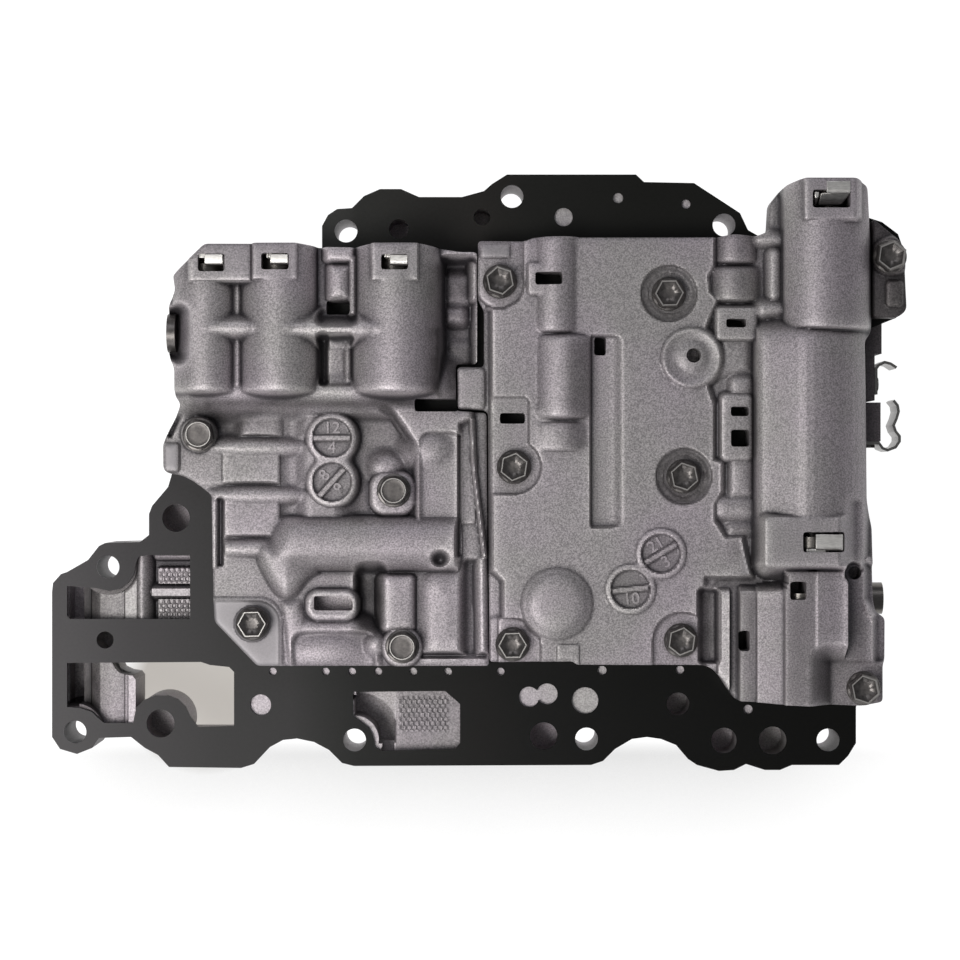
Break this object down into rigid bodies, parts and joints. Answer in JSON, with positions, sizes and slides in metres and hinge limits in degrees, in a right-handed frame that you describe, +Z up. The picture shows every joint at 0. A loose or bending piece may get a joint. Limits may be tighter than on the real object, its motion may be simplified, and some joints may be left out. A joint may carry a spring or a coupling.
{
  "type": "transmission valve body",
  "caption": "Automatic transmission valve body: cast valve housings bolted on a separator plate over a channel casting, with sliding valves.",
  "frame": {"origin": "centre of the bounding box at the height of the feet", "axes": "+X along the length towards the clips, +Y towards the plate edge with the mouths of the shift valves, +Z up towards the upper castings"},
  "size_m": [0.3145, 0.2204, 0.0841],
  "materials": {
    "cast_aluminium": "die-cast, grainy matt",
    "coated_plate": "black rubber-coated steel, satin",
    "dark_steel": "phosphated",
    "bright_steel": "ground or plated",
    "can_paint": "black",
    "turned_aluminium": "turned and anodised"
  },
  "bodies": {
    "body": {"lower_casting": "cast_aluminium", "left_casting": "cast_aluminium", "right_casting": "cast_aluminium", "side_casting": "cast_aluminium", "separator_plate": "coated_plate", "shift_plug_1": "turned_aluminium", "shift_plug_2": "turned_aluminium", "shift_plug_3": "turned_aluminium", "regulator_plug": "turned_aluminium", "modulator_plug": "turned_aluminium", "lubrication_plug": "turned_aluminium", "shift_spring_1": "bright_steel", "shift_spring_2": "bright_steel", "shift_spring_3": "bright_steel", "regulator_spring": "bright_steel", "modulator_spring": "bright_steel", "lubrication_spring": "bright_steel", "retainer_keys": "bright_steel", "dowel_pins": "bright_steel", "check_balls": "bright_steel", "passage_plug": "bright_steel", "solenoid_brackets": "bright_steel", "upper_clip": "bright_steel", "lower_clip": "bright_steel", "clip_rivets": "bright_steel", "flange_bolts": "dark_steel", "hex_bolts": "dark_steel", "underside_bolts": "dark_steel", "bracket_bolts": "dark_steel", "linear_solenoid_1": "can_paint", "linear_solenoid_2": "can_paint", "linear_solenoid_3": "can_paint", "linear_solenoid_4": "can_paint", "shift_solenoid_1": "can_paint", "shift_solenoid_2": "can_paint"},
    "shift_valve_1": {"shift_valve_1": "turned_aluminium"},
    "shift_valve_2": {"shift_valve_2": "turned_aluminium"},
    "shift_valve_3": {"shift_valve_3": "turned_aluminium"},
    "regulator_valve": {"regulator_valve": "turned_aluminium"},
    "modulator_valve": {"modulator_valve": "turned_aluminium"},
    "lubrication_valve": {"lubrication_valve": "turned_aluminium"},
    "manual_valve": {"manual_valve": "turned_aluminium"}
  },
  "joints": [
    {"name": "shift_slide_1", "type": "slide", "parent": "body", "child": "shift_valve_1", "axis": [0, 1, 0], "range_m": [0, 0.004], "stiffness_N_per_m": 1500, "springref_m": -0.003, "deforming": ["shift_spring_1"]},
    {"name": "shift_slide_2", "type": "slide", "parent": "body", "child": "shift_valve_2", "axis": [0, 1, 0], "range_m": [0, 0.004], "stiffness_N_per_m": 1800, "springref_m": -0.003, "deforming": ["shift_spring_2"]},
    {"name": "shift_slide_3", "type": "slide", "parent": "body", "child": "shift_valve_3", "axis": [0, 1, 0], "range_m": [0, 0.004], "stiffness_N_per_m": 2000, "springref_m": -0.003, "deforming": ["shift_spring_3"]},
    {"name": "regulator_slide", "type": "slide", "parent": "body", "child": "regulator_valve", "axis": [0, -1, 0], "range_m": [0, 0.007], "stiffness_N_per_m": 3000, "springref_m": -0.003, "deforming": ["regulator_spring"]},
    {"name": "modulator_slide", "type": "slide", "parent": "body", "child": "modulator_valve", "axis": [0, 1, 0], "range_m": [0, 0.004], "stiffness_N_per_m": 1800, "springref_m": -0.003, "deforming": ["modulator_spring"]},
    {"name": "lubrication_slide", "type": "slide", "parent": "body", "child": "lubrication_valve", "axis": [0, -1, 0], "range_m": [0, 0.003], "stiffness_N_per_m": 1500, "springref_m": -0.003, "deforming": ["lubrication_spring"]},
    {"name": "manual_slide", "type": "slide", "parent": "body", "child": "manual_valve", "axis": [1, 0, 0], "range_m": [0, 0.024]}
  ]
}
